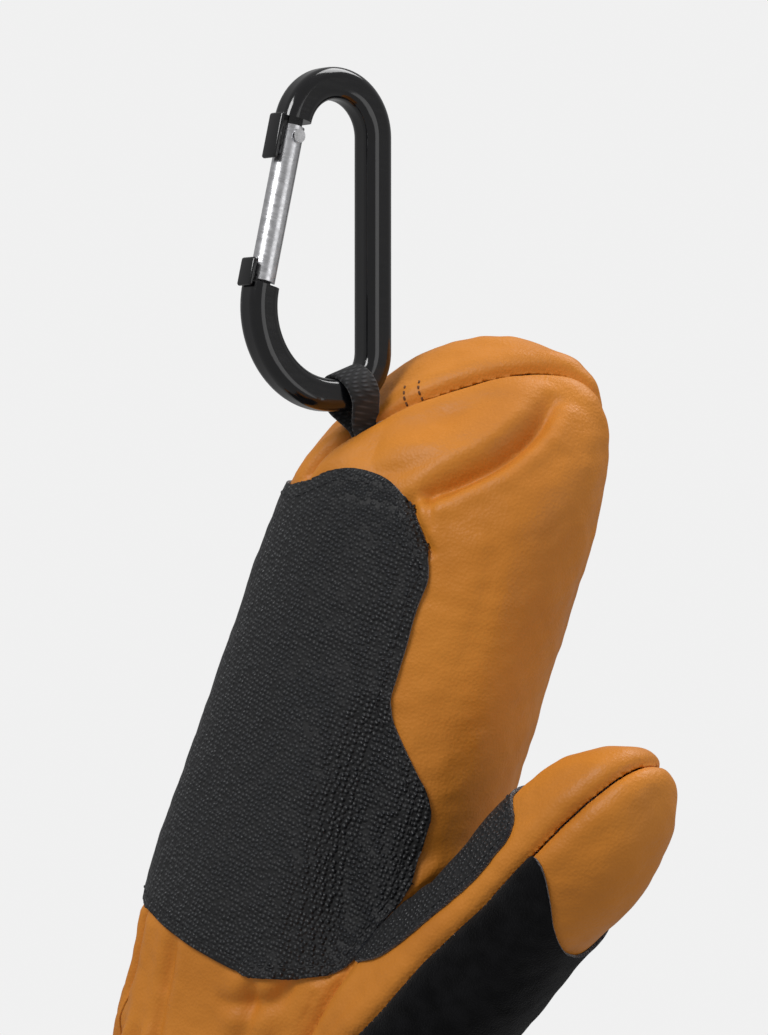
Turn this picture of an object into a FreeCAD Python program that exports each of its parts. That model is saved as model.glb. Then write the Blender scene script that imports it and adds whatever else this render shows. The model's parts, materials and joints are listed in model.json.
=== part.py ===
"""Right-hand ski mitten that hangs from a carabiner, as separate layers, panels and fittings.

Frame, in millimetres: the mitten stands on its cuff with the fingertips up +Z, the thumb out to +X and the
palm facing -Y. The origin is the centre of the cuff opening. Every size is a cell of the sheet "Sizes".
"""
import FreeCAD, Part
import math
import os
import Sketcher

# Sections of the hand from the cuff up: height, centre, half sizes and lean (the back edge higher, degrees).
HAND_COLUMNS = ("height", "centre_x", "centre_y", "half_width", "half_depth", "lean")
HAND_SECTIONS = (
    (0, 0, 0, 60, 46, 0),
    (38, 0, 0, 55, 42, 0),
    (64, 0, 0, 45, 34, 0),
    (90, 1, 0, 48, 34, 0),
    (118, 2, -1, 52, 36, 0),
    (160, 2, 0, 53, 34, 0),
    (205, 1, 0, 52, 33, 3),
    (240, 1, -1, 50, 32, 10),
    (264, 3, -1, 42, 31, 20),
    (280, 5, 0, 33, 28, 30),
    (291, 6, 2, 24, 22, 38),
    (298, 5, 4, 15, 12, 42),
)
# Sections of the thumb from the fold out: step along the thumb, centre, half sizes and lean toward +X.
THUMB_COLUMNS = ("height", "centre_x", "centre_y", "centre_z", "half_width", "half_depth", "lean")
THUMB_SECTIONS = (
    (0, 37, -8, 111.5, 34, 32, 78.85),
    (20, 63, -14, 117.2, 34, 29, 60),
    (30, 68.5, -18, 126.6, 29, 26, 42),
    (40, 73.4, -20.6, 132.6, 27, 25, 28.3),
    (70, 87, -23, 158.6, 26, 24, 28.3),
    (98, 100.3, -25.3, 183.2, 23, 21.5, 28.3),
    (113, 107.5, -26.5, 196.4, 15, 14, 28.3),
)
# Outline of the palm patch from the palm side, as (x, height); it wraps round the little-finger side.
PATCH_OUTLINE = ((-90, 109), (11, 109), (26, 115), (36, 122), (42, 146), (42, 162), (40, 176), (29.5, 189),
                 (21.5, 197), (20, 230), (21, 238), (13, 249), (3, 256), (-20, 256), (-36, 243), (-90, 234))
# How far each face of a layer lies inside the outer surface of the leather; minus is outside it.
INSETS = {
    "tab_top": -4.6, "tab_base": -2.8, "hook_top": -2.6, "hook_base": -1.6,
    "facing_top": -1.4, "facing_base": -0.15, "leather_top": 0, "leather_base": 1.4,
    "filling_top": 1.6, "elastic_base": 2.6, "elastic_room": 2.8, "filling_base": 6.6,
    "membrane_top": 6.8, "membrane_base": 7.2, "lining_top": 7.4, "lining_base": 9.9,
}
SIZES = {
    # side seams of the hand and of the thumb, as degrees round a section from the +X side
    "seam_turn": 24, "thumb_front_seam": 255, "thumb_back_seam": 90,
    # the opening between hand and thumb: both ends of its leaning line, how far it runs past them, and the
    # gaps that keep the hand's layers clear of that line and of the thumb
    "fold_foot_x": 30, "fold_foot_z": 76, "fold_crotch_x": 44, "fold_crotch_z": 147,
    "fold_lead": 4, "fold_run_out": 13, "fold_gap": 0.6, "thumb_gap": 2,
    # cuff and wrist heights
    "binding_floor": 3, "binding_height": 10, "layer_foot": 3.2, "cuff_top": 57.8, "hand_foot": 58,
    "elastic_foot": 58.2, "elastic_top": 70.2, "elastic_room_top": 70.4, "filling_step": 2,
    # patches on the thumb: steps along it and turns round it
    "grip_foot": 42, "grip_top": 100, "grip_start": 186, "grip_end": 252,
    "suede_foot": 32, "suede_top": 98, "suede_start": 258, "suede_end": 352,
    # strap over the back of the wrist: its heights, and the start and end of each piece in degrees
    "strap_foot": 46, "strap_top": 70, "strap_start": 109, "strap_end": 168,
    "tab_start": 41, "tab_end": 102, "pad_start": 46, "pad_end": 98, "pad_margin": 2,
    # hanging loop of webbing: its foot on the tip seam, its turn, and the eye round the carabiner's bar
    "loop_x": -25.9, "loop_y": -16.4, "loop_z": 266.8, "loop_yaw": -24.95, "loop_pitch": -30.87,
    "loop_roll": 31.61, "loop_width": 10.5, "webbing_thickness": 1.2, "eye_radius": 7.4, "eye_height": 10.32,
    "stem_half": 1.4, "stem_foot": 2.3, "stem_spread": 25,
    # carabiner: place and turn of its middle, then its own sizes
    "clip_x": -46.24, "clip_y": -13.02, "clip_z": 316.94, "clip_yaw": 75.09, "clip_pitch": -8.04,
    "clip_roll": 70.12, "clip_length": 100, "bar_size": 9.5, "bar_corner": 3.2, "top_radius": 15,
    "spine_corner": 13, "nose_radius": 25, "base_run": 3.9, "gate_lean": 13.56,
    # gate and its hinge
    "pivot_drop": 5, "gate_radius": 3.8, "gate_head": 3, "gate_length": 46.3, "gate_bore": 2.3,
    "bore_depth": 26, "hinge_slot": 3.4, "hinge_slot_depth": 6, "tongue_thickness": 3, "tongue_half": 2.5,
    "tongue_reach": 3, "nose_slot": 2.6, "nose_slot_depth": 6, "nose_thickness": 2.2, "nose_reach": 6.2,
    "nose_half": 2.4, "rivet_radius": 1.2, "rivet_hole": 1.3, "rivet_head": 2, "rivet_head_height": 0.8,
    "rivet_gap": 0.15,
    # spring and plunger inside the gate
    "plunger_radius": 2.1, "plunger_top": 3.05, "plunger_length": 7, "spring_radius": 1.9,
    "spring_wire": 0.35, "spring_pitch": 1.7, "spring_foot": 25.5, "spring_length": 13.6,
}
LAYERS = (("insulation", "filling"), ("membrane", "membrane"), ("lining", "lining"))
REACH = 300        # longer than the mitten is wide: size of the cutting blocks
CLOSED = 0.4       # half size to which a layer's inner face shrinks where the layer closes

doc = FreeCAD.newDocument("ski_mitten")
sheet = doc.addObject("Spreadsheet::Sheet", "Sizes")


def fill_sheet():
    """Writes every named size, inset and section value into its own cell."""
    cells = dict(SIZES)
    for name, inset in INSETS.items():
        cells["inset_" + name] = inset
    for part, columns, rows in (("hand", HAND_COLUMNS, HAND_SECTIONS), ("thumb", THUMB_COLUMNS, THUMB_SECTIONS)):
        for number, row in enumerate(rows):
            for column, value in zip(columns, row):
                cells["%s_%s_%d" % (part, column, number)] = value
    for row, (name, value) in enumerate(cells.items(), start=1):
        sheet.set("A%d" % row, name)
        sheet.set("B%d" % row, str(value))
        sheet.setAlias("B%d" % row, name)
    doc.recompute()


def size(name):
    """One value from the sheet."""
    return float(sheet.get(name))


def inset(face):
    return size("inset_" + face)


def add(kind, name, **links):
    """Adds a document object whose label is its name, and sets the given properties."""
    thing = doc.addObject(kind, name)
    thing.Label = name
    for key, value in links.items():
        setattr(thing, key, value)
    return thing


def bind(thing, **expressions):
    """Ties properties to expressions on the sheet."""
    for key, text in expressions.items():
        thing.setExpression(key, text)
    return thing


# ---- soft layers -------------------------------------------------------------------------------------

def between(rows, height):
    """The row of a table at any height, linear between its entries and held at its ends."""
    if height <= rows[0][0]:
        return rows[0]
    for low, high in zip(rows, rows[1:]):
        if height <= high[0]:
            share = (height - low[0]) / (high[0] - low[0])
            return tuple(a + (b - a) * share for a, b in zip(low, high))
    return rows[-1]


class Hand:
    """The hand's outer surface, as level or leaning ellipses by height."""

    def __init__(self):
        self.rows = [
            tuple(size("hand_%s_%d" % (column, number)) for column in HAND_COLUMNS)
            for number in range(len(HAND_SECTIONS))
        ]

    def at(self, height):
        _, x, y, half_width, half_depth, lean = between(self.rows, height)
        turn = FreeCAD.Rotation(FreeCAD.Vector(1, 0, 0), lean)
        return FreeCAD.Placement(FreeCAD.Vector(x, y, height), turn), half_width, half_depth


class Thumb:
    """The thumb's outer surface, as ellipses that lean toward the fold at its root."""

    def __init__(self):
        self.rows = [
            tuple(size("thumb_%s_%d" % (column, number)) for column in THUMB_COLUMNS)
            for number in range(len(THUMB_SECTIONS))
        ]

    def at(self, height):
        _, x, y, z, half_width, half_depth, lean = between(self.rows, height)
        turn = FreeCAD.Rotation(FreeCAD.Vector(0, 1, 0), lean)
        return FreeCAD.Placement(FreeCAD.Vector(x, y, z), turn), half_width, half_depth


def section_wire(form, height, top, base, start, end, closed):
    """A curved strip: the part of one section between two insets and two turns in degrees."""
    place, half_width, half_depth = form.at(height)
    edges = []
    for depth, shrink in ((top, False), (base, closed)):
        wide = CLOSED + half_width - half_depth if shrink else half_width - depth
        deep = CLOSED if shrink else half_depth - depth
        ellipse = Part.Ellipse(FreeCAD.Vector(), wide, deep)
        edges.append(Part.ArcOfEllipse(ellipse, math.radians(start), math.radians(end)).toShape())
    outer, inner = edges
    sides = [
        Part.LineSegment(outer.valueAt(outer.LastParameter), inner.valueAt(inner.LastParameter)).toShape(),
        Part.LineSegment(inner.valueAt(inner.FirstParameter), outer.valueAt(outer.FirstParameter)).toShape(),
    ]
    wire = Part.Wire([outer, sides[0], inner, sides[1]])
    wire.Placement = place
    return wire


def strip(form, stops, start, end):
    """A solid through sections at the given stops, each (height, top inset, base inset, closed here)."""
    wires = [section_wire(form, *stop[:3], start, end, stop[3]) for stop in stops]
    return Part.makeLoft(wires, True, True)


def layer_stops(form, low, high, top, base, extra=()):
    """Stops for an open band of a layer between two heights."""
    heights = {low, high, *extra} | {row[0] for row in form.rows if low < row[0] < high}
    return [(height, top, base, False) for height in sorted(heights)]


def closed_stops(form, low, top, base, extra=()):
    """Stops for a layer that closes over the end of the form, each face its inset below the end."""
    end = form.rows[-1][0]
    stops = layer_stops(form, low, end - base, top, base, extra)
    return stops + [(end - top, top, base, True)]


def thumb_opening():
    """The block that clears the hand's layers where the thumb is set in, leaning along the fold."""
    foot_x, foot_z = size("fold_foot_x"), size("fold_foot_z")
    run, rise = size("fold_crotch_x") - foot_x, size("fold_crotch_z") - foot_z
    lead, run_out = size("fold_lead"), size("fold_run_out")
    height = math.hypot(run, rise) + lead + run_out
    block = Part.makeBox(REACH, REACH, height, FreeCAD.Vector(-size("fold_gap"), -REACH / 2, -lead))
    turn = FreeCAD.Rotation(FreeCAD.Vector(0, 1, 0), math.degrees(math.atan2(run, rise)))
    block.Placement = FreeCAD.Placement(FreeCAD.Vector(foot_x, 0, foot_z), turn)
    return block


def thumb_room():
    """The space the thumb takes up with a gap all round it."""
    thumb = Thumb()
    wires = []
    for row in thumb.rows:
        place, half_width, half_depth = thumb.at(row[0])
        ellipse = Part.Ellipse(FreeCAD.Vector(), half_width + size("thumb_gap"), half_depth + size("thumb_gap"))
        wire = Part.Wire([ellipse.toShape()])
        wire.Placement = place
        wires.append(wire)
    return Part.makeLoft(wires, True, True)


def cleared(shape, rooms):
    """The largest solid that is left of a shape outside the given rooms."""
    for room in rooms:
        shape = shape.cut(room)
    return max(shape.Solids, key=lambda solid: solid.Volume)


def both_sides(form, stops):
    """Front and back strips of one layer of the hand, open where the thumb is set in."""
    seam = size("seam_turn")
    halves = {"front": strip(form, stops, 180 - seam, 360 + seam), "back": strip(form, stops, seam, 180 - seam)}
    if stops[-1][0] > size("fold_foot_z"):
        rooms = (thumb_opening(), thumb_room())
        halves = {side: cleared(half, rooms) for side, half in halves.items()}
    return halves


def store(name, shapes):
    """Puts one or more solids in the document as one named sub-part."""
    shape = shapes[0] if len(shapes) == 1 else Part.makeCompound(shapes)
    return add("Part::Feature", name, Shape=shape)


def hand_leather(hand):
    """Palm and back panels, sewn together round the sides and over the tip."""
    stops = closed_stops(hand, size("hand_foot"), inset("leather_top"), inset("leather_base"))
    panels = both_sides(hand, stops)
    store("palm_panel", [panels["front"]])
    store("back_panel", [panels["back"]])


def hand_linings(hand):
    """Insulation, membrane and lining of the hand, each a front and a back."""
    for node, layer in LAYERS:
        extra = ()
        if layer == "filling":
            extra = (size("elastic_room_top"), size("elastic_room_top") + size("filling_step"))
        stops = closed_stops(
            hand, size("layer_foot"), inset(layer + "_top"), inset(layer + "_base"), extra)
        if layer == "filling":
            room = inset("elastic_room")
            stops = [(height, room if height <= size("elastic_room_top") else top, base, closed)
                     for height, top, base, closed in stops]
        store("hand_" + node, list(both_sides(hand, stops).values()))


def hand_bands(hand):
    """Cuff panel, elastic of the wrist and binding of the open end: rings of two strips each."""
    cuff = layer_stops(hand, size("layer_foot"), size("cuff_top"), inset("leather_top"), inset("leather_base"))
    elastic = layer_stops(
        hand, size("elastic_foot"), size("elastic_top"), inset("filling_top"), inset("elastic_base"))
    floor, top = size("binding_floor"), inset("facing_top")
    rim = [(height, top, inset("lining_base"), False) for height in (0, floor)]
    edge = [(height, top, inset("facing_base"), False) for height in (floor, size("binding_height"))]
    store("cuff_panel", list(both_sides(hand, cuff).values()))
    store("wrist_elastic", list(both_sides(hand, elastic).values()))
    halves = [side for band in (rim, edge) for side in both_sides(hand, band).values()]
    store("cuff_binding", halves)


def palm_patch(hand):
    """Grip patch sewn over the palm; it wraps round the little-finger side."""
    heights = [height for _, height in PATCH_OUTLINE]
    stops = layer_stops(hand, min(heights) - 1, max(heights) + 1, inset("facing_top"), inset("facing_base"))
    sheet_piece = strip(hand, stops, 180, 350)
    corners = [FreeCAD.Vector(x, 0, height) for x, height in PATCH_OUTLINE]
    face = Part.Face(Part.makePolygon(corners + corners[:1]))
    patch = sheet_piece.common(face.extrude(FreeCAD.Vector(0, -REACH, 0)))
    store("palm_patch", [cleared(patch, [thumb_room()])])


def thumb_parts(thumb):
    """Two leather panels, three inner layers and two sewn patches of the thumb."""
    front, back = size("thumb_front_seam"), size("thumb_back_seam")
    leather = closed_stops(thumb, 0, inset("leather_top"), inset("leather_base"))
    store("thumb_inner_panel", [strip(thumb, leather, back, front)])
    store("thumb_outer_panel", [strip(thumb, leather, front, back + 360)])
    for node, layer in LAYERS:
        stops = closed_stops(thumb, 0, inset(layer + "_top"), inset(layer + "_base"))
        store("thumb_" + node, [strip(thumb, stops, back, front), strip(thumb, stops, front, back + 360)])
    for name in ("grip", "suede"):
        stops = layer_stops(
            thumb, size(name + "_foot"), size(name + "_top"), inset("facing_top"), inset("facing_base"))
        patch = strip(thumb, stops, size(name + "_start"), size(name + "_end"))
        store("thumb_%s_patch" % name, [patch])


def wrist_strap(hand):
    """Strap over the back of the wrist: sewn part, free tab, and the two pads that hold them together."""
    low, high, margin = size("strap_foot"), size("strap_top"), size("pad_margin")
    rows = (
        ("wrist_strap", "facing", "strap", 0),
        ("strap_tab", "tab", "tab", 0),
        ("strap_hook_pad", "hook", "pad", margin),
        ("strap_loop_pad", "facing", "pad", margin),
    )
    for name, layer, span, trim in rows:
        stops = layer_stops(hand, low + trim, high - trim, inset(layer + "_top"), inset(layer + "_base"))
        store(name, [strip(hand, stops, size(span + "_start"), size(span + "_end"))])


# ---- webbing and metal -------------------------------------------------------------------------------

def new_body(name):
    body = doc.addObject("PartDesign::Body", name)
    body.Label = name
    return body


def body_sketch(body, plane, name):
    """A sketch on one origin plane of the body, named by its role."""
    sketch = body.newObject("Sketcher::SketchObject", name)
    origin_plane = next(item for item in body.Origin.OriginFeatures if item.Role == plane)
    sketch.AttachmentSupport = [(origin_plane, "")]
    sketch.MapMode = "FlatFace"
    return sketch


def line(sketch, start, end):
    return sketch.addGeometry(Part.LineSegment(FreeCAD.Vector(*start, 0), FreeCAD.Vector(*end, 0)))


def arc(sketch, centre, radius, start, end):
    """An arc, counter-clockwise between two angles in degrees."""
    circle = Part.Circle(FreeCAD.Vector(*centre, 0), FreeCAD.Vector(0, 0, 1), radius)
    return sketch.addGeometry(Part.ArcOfCircle(circle, math.radians(start), math.radians(end)))


def pin_point(sketch, shape, end, across, up):
    """Holds one point of a sketch at two expressions."""
    for kind, text in (("DistanceX", across), ("DistanceY", up)):
        point = sketch.getPoint(shape, end)
        here = point.x if kind == "DistanceX" else point.y
        index = sketch.addConstraint(Sketcher.Constraint(kind, shape, end, here))
        sketch.setExpression("Constraints[%d]" % index, text)


def join(sketch, first, first_end, second, second_end):
    sketch.addConstraint(Sketcher.Constraint("Coincident", first, first_end, second, second_end))


def set_radius(sketch, shape, expression):
    """Gives a circle or an arc a radius from the sheet."""
    radius = sketch.Geometry[shape].Radius
    index = sketch.addConstraint(Sketcher.Constraint("Radius", shape, radius))
    sketch.setExpression("Constraints[%d]" % index, expression)


def rectangle(sketch, low, high):
    """A rectangle between two corners given as pairs of expressions on the sheet."""
    values = [[evaluate(text) for text in corner] for corner in (low, high)]
    (left, bottom), (right, top) = values
    corners = ((left, bottom), (right, bottom), (right, top), (left, top))
    texts = ((low[0], low[1]), (high[0], low[1]), (high[0], high[1]), (low[0], high[1]))
    first = sketch.GeometryCount
    for number in range(4):
        line(sketch, corners[number], corners[(number + 1) % 4])
    for number in range(4):
        join(sketch, first + (number - 1) % 4, 2, first + number, 1)
        pin_point(sketch, first + number, 1, *texts[number])


def evaluate(text):
    """The present value of an expression on the sheet."""
    value = sheet.evalExpression(text)
    return float(getattr(value, "Value", value))


def round_pad(body, name, plane, radius, length, both_ways=False):
    """Pads a circle about the body's origin."""
    sketch = body_sketch(body, plane, name + "_circle")
    circle = sketch.addGeometry(Part.Circle(FreeCAD.Vector(), FreeCAD.Vector(0, 0, 1), evaluate(radius)))
    join(sketch, circle, 3, -1, 1)
    set_radius(sketch, circle, radius)
    pad = body.newObject("PartDesign::Pad", name)
    pad.Profile = sketch
    pad.Midplane = both_ways
    return bind(pad, Length=length)


def hang_loop():
    """Webbing loop: an eye round the carabiner's bar, pinched to a stem at the tip seam."""
    body = new_body("hang_loop")
    sketch = body_sketch(body, "XZ_Plane", "loop_profile")
    outer = SIZES["eye_radius"] + SIZES["webbing_thickness"]
    height = SIZES["eye_height"]
    spread = SIZES["stem_spread"]
    stem, foot = SIZES["stem_half"], SIZES["stem_foot"]
    around = arc(sketch, (0, height), outer, spread - 90, 270 - spread)
    low_x = outer * math.sin(math.radians(spread))
    low_z = height - outer * math.cos(math.radians(spread))
    left = line(sketch, (-low_x, low_z), (-stem, foot))
    base = line(sketch, (-stem, foot), (stem, foot))
    right = line(sketch, (stem, foot), (low_x, low_z))
    eye = sketch.addGeometry(
        Part.Circle(FreeCAD.Vector(0, height, 0), FreeCAD.Vector(0, 0, 1), SIZES["eye_radius"]))
    join(sketch, around, 2, left, 1)
    join(sketch, left, 2, base, 1)
    join(sketch, base, 2, right, 1)
    join(sketch, right, 2, around, 1)
    join(sketch, eye, 3, around, 3)
    set_radius(sketch, around, "Sizes.eye_radius + Sizes.webbing_thickness")
    set_radius(sketch, eye, "Sizes.eye_radius")
    pin_point(sketch, eye, 3, "0", "Sizes.eye_height")
    pin_point(sketch, base, 1, "-Sizes.stem_half", "Sizes.stem_foot")
    pin_point(sketch, base, 2, "Sizes.stem_half", "Sizes.stem_foot")
    pad = body.newObject("PartDesign::Pad", "loop_webbing")
    pad.Profile = sketch
    pad.Midplane = True
    bind(pad, Length="Sizes.loop_width")
    bind(
        body,
        Placement="placement(vector(Sizes.loop_x; Sizes.loop_y; Sizes.loop_z);"
                  " rotation(Sizes.loop_yaw; Sizes.loop_pitch; Sizes.loop_roll))",
    )


CLIP_PLACE = ("placement(vector(Sizes.clip_x; Sizes.clip_y; Sizes.clip_z);"
              " rotation(Sizes.clip_yaw; Sizes.clip_pitch; Sizes.clip_roll))")
PIVOT_PLACE = (CLIP_PLACE + " * placement(vector("
               "-Sizes.top_radius - Sizes.top_radius * cos(Sizes.gate_lean * 1deg)"
               " - Sizes.pivot_drop * sin(Sizes.gate_lean * 1deg);"
               " (Sizes.clip_length - Sizes.bar_size) / 2 - Sizes.top_radius"
               " + Sizes.top_radius * sin(Sizes.gate_lean * 1deg)"
               " - Sizes.pivot_drop * cos(Sizes.gate_lean * 1deg); 0);"
               " rotation(vector(0; 0; 1); -Sizes.gate_lean))")


def bar_profile(body, name):
    """Rounded square section of the bar, across the middle of the spine."""
    sketch = body_sketch(body, "XZ_Plane", name)
    half = SIZES["bar_size"] / 2
    corner = SIZES["bar_corner"]
    flat = half - corner
    sides = (((half, -flat), (half, flat)), ((flat, half), (-flat, half)),
             ((-half, flat), (-half, -flat)), ((-flat, -half), (flat, -half)))
    centres = ((flat, flat), (-flat, flat), (-flat, -flat), (flat, -flat))
    straight = [line(sketch, *side) for side in sides]
    rounds = [arc(sketch, centre, corner, 90 * k, 90 * k + 90) for k, centre in enumerate(centres)]
    for k in range(4):
        join(sketch, straight[k], 2, rounds[k], 1)
        join(sketch, rounds[k], 2, straight[(k + 1) % 4], 1)
    reach = "(Sizes.bar_size / 2 - Sizes.bar_corner)"
    signs = (("", ""), ("-", ""), ("-", "-"), ("", "-"))
    for k, (across, up) in enumerate(signs):
        pin_point(sketch, rounds[k], 3, across + reach, up + reach)
        set_radius(sketch, rounds[k], "Sizes.bar_corner")
    return sketch


def bend(body, name, upward):
    """Half of the carabiner's frame: from mid spine round to the hinge end, or to the nose end."""
    path = body_sketch(body, "XY_Plane", name + "_path")
    half = (SIZES["clip_length"] - SIZES["bar_size"]) / 2
    lean = SIZES["gate_lean"]
    if upward:
        radius = SIZES["top_radius"]
        spine = line(path, (0, 0), (0, half - radius))
        turn = arc(path, (-radius, half - radius), radius, 0, 180 - lean)
        join(path, spine, 2, turn, 1)
        pin_point(path, turn, 3, "-Sizes.top_radius", "(Sizes.clip_length - Sizes.bar_size) / 2 - Sizes.top_radius")
        set_radius(path, turn, "Sizes.top_radius")
        edges = 2
    else:
        radius, corner, run = SIZES["nose_radius"], SIZES["spine_corner"], SIZES["base_run"]
        spine = line(path, (0, 0), (0, corner - half))
        low = arc(path, (-corner, corner - half), corner, 270, 360)
        base = line(path, (-corner, -half), (-corner - run, -half))
        turn = arc(path, (-corner - run, radius - half), radius, 180 - lean, 270)
        join(path, spine, 2, low, 2)
        join(path, low, 1, base, 1)
        join(path, base, 2, turn, 2)
        pin_point(path, low, 3, "-Sizes.spine_corner", "Sizes.spine_corner - (Sizes.clip_length - Sizes.bar_size) / 2")
        set_radius(path, low, "Sizes.spine_corner")
        edges = 4
    profile = bar_profile(body, name + "_section")
    pipe = body.newObject("PartDesign::AdditivePipe", name)
    pipe.Profile = profile
    pipe.Spine = (path, ["Edge%d" % (k + 1) for k in range(edges)])
    doc.recompute()
    return pipe


def end_tongue(body, name, low, high, thickness):
    """A flat tongue on the gate's line, drawn in the gate's own turned frame."""
    sketch = body.newObject("Sketcher::SketchObject", name + "_outline")
    plane = next(item for item in body.Origin.OriginFeatures if item.Role == "XY_Plane")
    sketch.AttachmentSupport = [(plane, "")]
    sketch.MapMode = "FlatFace"
    sketch.setExpression("AttachmentOffset", PIVOT_PLACE.split(" * ", 1)[1])
    rectangle(sketch, low, high)
    pad = body.newObject("PartDesign::Pad", name)
    pad.Profile = sketch
    pad.Midplane = True
    return bind(pad, Length=thickness)


def carabiner_body():
    """Forged frame: bent bar, hinge tongue with its rivet hole, and nose tongue."""
    body = new_body("carabiner_body")
    bend(body, "hinge_half", True)
    bend(body, "nose_half", False)
    end_tongue(
        body, "hinge_tongue",
        ("-Sizes.tongue_half", "-Sizes.tongue_reach"), ("Sizes.tongue_half", "Sizes.pivot_drop + 1"),
        "Sizes.tongue_thickness",
    )
    nose_end = "-(Sizes.gate_length - Sizes.gate_head)"
    end_tongue(
        body, "nose_tongue",
        ("-Sizes.nose_half", nose_end + " - 2.5"), ("Sizes.nose_half", nose_end + " - 1.2 + Sizes.nose_reach"),
        "Sizes.nose_thickness",
    )
    sketch = body.newObject("Sketcher::SketchObject", "rivet_hole_circle")
    plane = next(item for item in body.Origin.OriginFeatures if item.Role == "XY_Plane")
    sketch.AttachmentSupport = [(plane, "")]
    sketch.MapMode = "FlatFace"
    sketch.setExpression("AttachmentOffset", PIVOT_PLACE.split(" * ", 1)[1])
    hole = sketch.addGeometry(Part.Circle(FreeCAD.Vector(), FreeCAD.Vector(0, 0, 1), SIZES["rivet_hole"]))
    join(sketch, hole, 3, -1, 1)
    set_radius(sketch, hole, "Sizes.rivet_hole")
    pocket = body.newObject("PartDesign::Pocket", "rivet_hole_cut")
    pocket.Profile = sketch
    pocket.Midplane = True
    bind(pocket, Length="2 * Sizes.bar_size")
    bind(body, Placement=CLIP_PLACE)


def slot_cut(body, name, low, high, thickness):
    """A slot across the gate, cut as a rectangle through both sides."""
    sketch = body_sketch(body, "XY_Plane", name + "_outline")
    rectangle(sketch, low, high)
    pocket = body.newObject("PartDesign::Pocket", name)
    pocket.Profile = sketch
    pocket.Midplane = True
    return bind(pocket, Length=thickness)


def gate_sleeve():
    """Tube gate: forked at the hinge, bored for the spring and slotted at the nose."""
    body = new_body("gate_sleeve")
    tube = round_pad(body, "gate_tube", "XZ_Plane", "Sizes.gate_radius", "Sizes.gate_length - Sizes.gate_head")
    head = round_pad(body, "gate_top", "XZ_Plane", "Sizes.gate_radius", "Sizes.gate_head")
    head.Reversed = True
    doc.recompute()
    if tube.Shape.BoundBox.YMin > -1:
        tube.Reversed, head.Reversed = True, False
        doc.recompute()
    bore = body_sketch(body, "XZ_Plane", "bore_circle")
    circle = bore.addGeometry(Part.Circle(FreeCAD.Vector(), FreeCAD.Vector(0, 0, 1), SIZES["gate_bore"]))
    join(bore, circle, 3, -1, 1)
    set_radius(bore, circle, "Sizes.gate_bore")
    for name, length, reverse in (("spring_bore", "Sizes.bore_depth", True), ("fork_bore", "Sizes.gate_head + 1", False)):
        pocket = body.newObject("PartDesign::Pocket", name)
        pocket.Profile = bore
        pocket.Reversed = reverse
        bind(pocket, Length=length)
    slot_cut(body, "hinge_slot", ("-2 * Sizes.gate_radius", "-Sizes.hinge_slot_depth"),
             ("2 * Sizes.gate_radius", "Sizes.gate_head + 1"), "Sizes.hinge_slot")
    end = "-(Sizes.gate_length - Sizes.gate_head)"
    slot_cut(body, "nose_slot", ("-2 * Sizes.gate_radius", end + " - 1"),
             ("2 * Sizes.gate_radius", end + " + Sizes.nose_slot_depth"), "Sizes.nose_slot")
    hole = body_sketch(body, "XY_Plane", "gate_rivet_circle")
    circle = hole.addGeometry(Part.Circle(FreeCAD.Vector(), FreeCAD.Vector(0, 0, 1), SIZES["rivet_hole"]))
    join(hole, circle, 3, -1, 1)
    set_radius(hole, circle, "Sizes.rivet_hole")
    pocket = body.newObject("PartDesign::Pocket", "gate_rivet_hole")
    pocket.Profile = hole
    pocket.Midplane = True
    bind(pocket, Length="4 * Sizes.gate_radius")
    bind(body, Placement=PIVOT_PLACE)


def gate_rivet():
    """Rivet through the gate and the hinge tongue, with a flat head on each side."""
    body = new_body("gate_rivet")
    reach = "2 * (Sizes.gate_radius + Sizes.rivet_gap)"
    round_pad(body, "rivet_shaft", "XY_Plane", "Sizes.rivet_radius", reach, both_ways=True)
    for side, name in ((1, "rivet_head_front"), (-1, "rivet_head_rear")):
        head = round_pad(body, name, "XY_Plane", "Sizes.rivet_head", "Sizes.rivet_head_height")
        head.Reversed = side < 0
        head.Profile[0].setExpression(
            "AttachmentOffset",
            "placement(vector(0; 0; %d * (Sizes.gate_radius + Sizes.rivet_gap)); rotation(0; 0; 0))" % side)
    bind(body, Placement=PIVOT_PLACE)


def spring_plunger():
    """Small pin that the spring presses against the hinge tongue."""
    body = new_body("spring_plunger")
    pad = round_pad(body, "plunger_pin", "XZ_Plane", "Sizes.plunger_radius", "Sizes.plunger_length")
    doc.recompute()
    if pad.Shape.BoundBox.YMin > -1:
        pad.Reversed = True
    pad.Profile[0].setExpression(
        "AttachmentOffset", "placement(vector(0; 0; Sizes.plunger_top); rotation(0; 0; 0))")
    bind(body, Placement=PIVOT_PLACE)


def gate_spring():
    """Coil spring in the gate's bore, wound along the gate."""
    turns = Part.makeHelix(SIZES["spring_pitch"], SIZES["spring_length"], SIZES["spring_radius"])
    start = FreeCAD.Vector(SIZES["spring_radius"], 0, 0)
    rise = SIZES["spring_pitch"] / (2 * math.pi * SIZES["spring_radius"])
    section = Part.Wire([Part.Circle(start, FreeCAD.Vector(0, 1, rise), SIZES["spring_wire"]).toShape()])
    coil = Part.Wire(turns.Edges).makePipeShell([section], True, True)
    spring = add("Part::Feature", "gate_spring", Shape=coil)
    down_the_gate = " * placement(vector(0; -Sizes.spring_foot; 0); rotation(vector(1; 0; 0); -90))"
    return bind(spring, Placement=PIVOT_PLACE + down_the_gate)


NODES = (
    "palm_panel", "back_panel", "palm_patch", "hand_insulation", "hand_membrane", "hand_lining",
    "wrist_elastic", "cuff_panel", "cuff_binding", "wrist_strap", "strap_tab", "strap_hook_pad",
    "strap_loop_pad", "thumb_inner_panel", "thumb_outer_panel", "thumb_grip_patch", "thumb_suede_patch",
    "thumb_insulation", "thumb_membrane", "thumb_lining", "hang_loop", "carabiner_body", "gate_sleeve",
    "gate_rivet", "gate_spring", "spring_plunger",
)


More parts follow.
